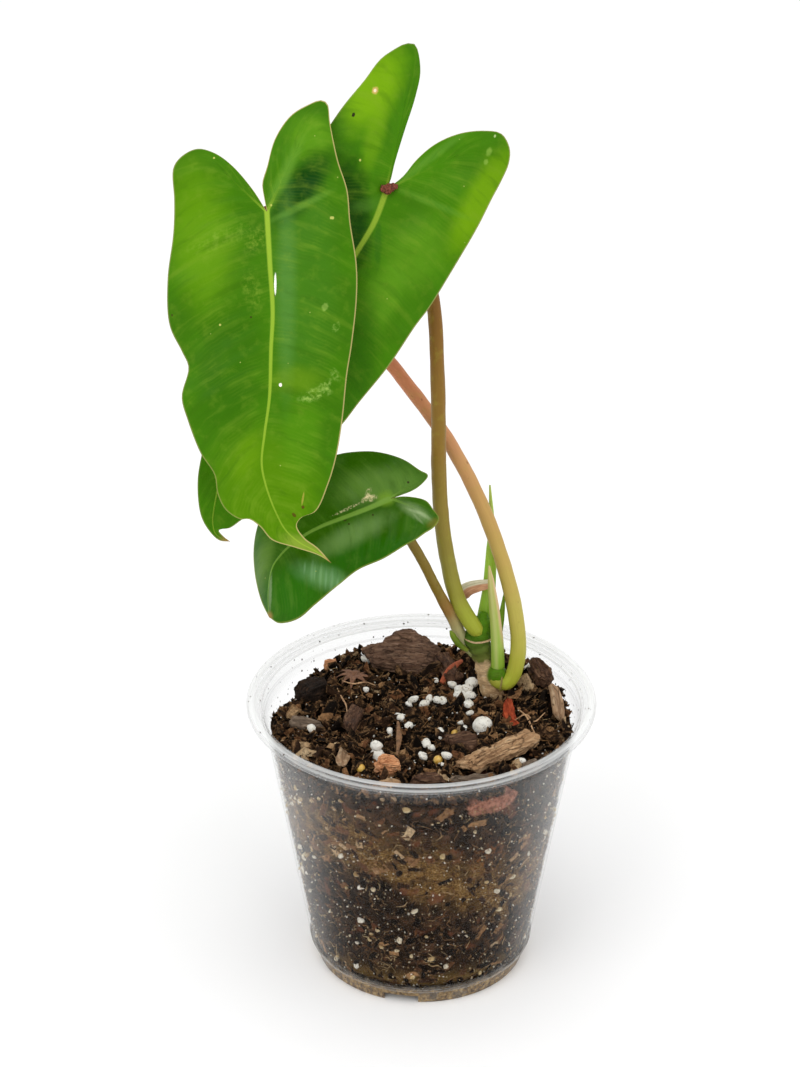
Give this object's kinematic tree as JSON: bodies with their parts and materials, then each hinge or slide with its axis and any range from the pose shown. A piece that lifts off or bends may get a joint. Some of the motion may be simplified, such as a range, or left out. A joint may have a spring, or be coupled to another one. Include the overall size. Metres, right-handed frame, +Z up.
{
  "type": "potted philodendron burle-marxii",
  "caption": "Young philodendron with long heart-based leaves on bent stalks, rooted in a bark and perlite mix that fills a clear tapered nursery pot with a rolled rim",
  "frame": {"origin": "under the middle of the whole bounding box, on the surface that the pot stands on", "axes": "+Z up; the side seen in the picture faces -Y; +X is to the viewer's right"},
  "size_m": [0.141, 0.1198, 0.3178],
  "materials": {
    "clear_plastic": "clear thin plastic with a slight haze",
    "potting_mix": "dark, damp and crumbly",
    "leaf_green": "satin mid green",
    "leaf_dark": "glossy dark green",
    "stalk_olive": "smooth olive brown",
    "stalk_tan": "smooth, yellow green to pinkish tan",
    "stem": "green with tan papery rings",
    "sheath_green": "smooth pale green",
    "dry_matter": "papery dried brown",
    "bark_brown": "rough dark bark",
    "bark_pale": "weathered pale bark",
    "bark_orange": "rough orange bark",
    "bark_red": "thin red-brown bark",
    "bark_grey": "weathered grey bark",
    "husk": "thin papery husk",
    "perlite": "rough white mineral foam",
    "fertiliser": "smooth yellow bead"
  },
  "bodies": {
    "root": {"bark_orange": "bark_orange", "bark_orange_small": "bark_orange", "bark_red": "bark_red", "bark_right": "bark_brown", "bark_round": "bark_brown", "bark_slab": "bark_brown", "bark_strip": "bark_pale", "bark_strip_grey": "bark_grey", "bark_twisted": "bark_brown", "bud_left": "sheath_green", "chip_reddish": "bark_red", "chip_tan": "bark_pale", "chip_triangle": "bark_brown", "clod_dark": "bark_brown", "flake_grey": "bark_grey", "husk_left": "husk", "husk_right": "husk", "leaf_back": "leaf_green", "leaf_debris": "dry_matter", "leaf_front": "leaf_green", "leaf_low": "leaf_dark", "perlite_big": "perlite", "perlite_cluster": "perlite", "perlite_tall": "perlite", "petiole_back": "stalk_olive", "petiole_front": "stalk_tan", "petiole_low": "stalk_olive", "pot": "clear_plastic", "prill_a": "fertiliser", "prill_b": "fertiliser", "prill_c": "fertiliser", "shard_grey": "bark_grey", "sheath_back": "sheath_green", "sheath_curl": "dry_matter", "sheath_front": "sheath_green", "sheath_sliver": "sheath_green", "soil": "potting_mix", "stem": "stem"}
  },
  "joints": []
}
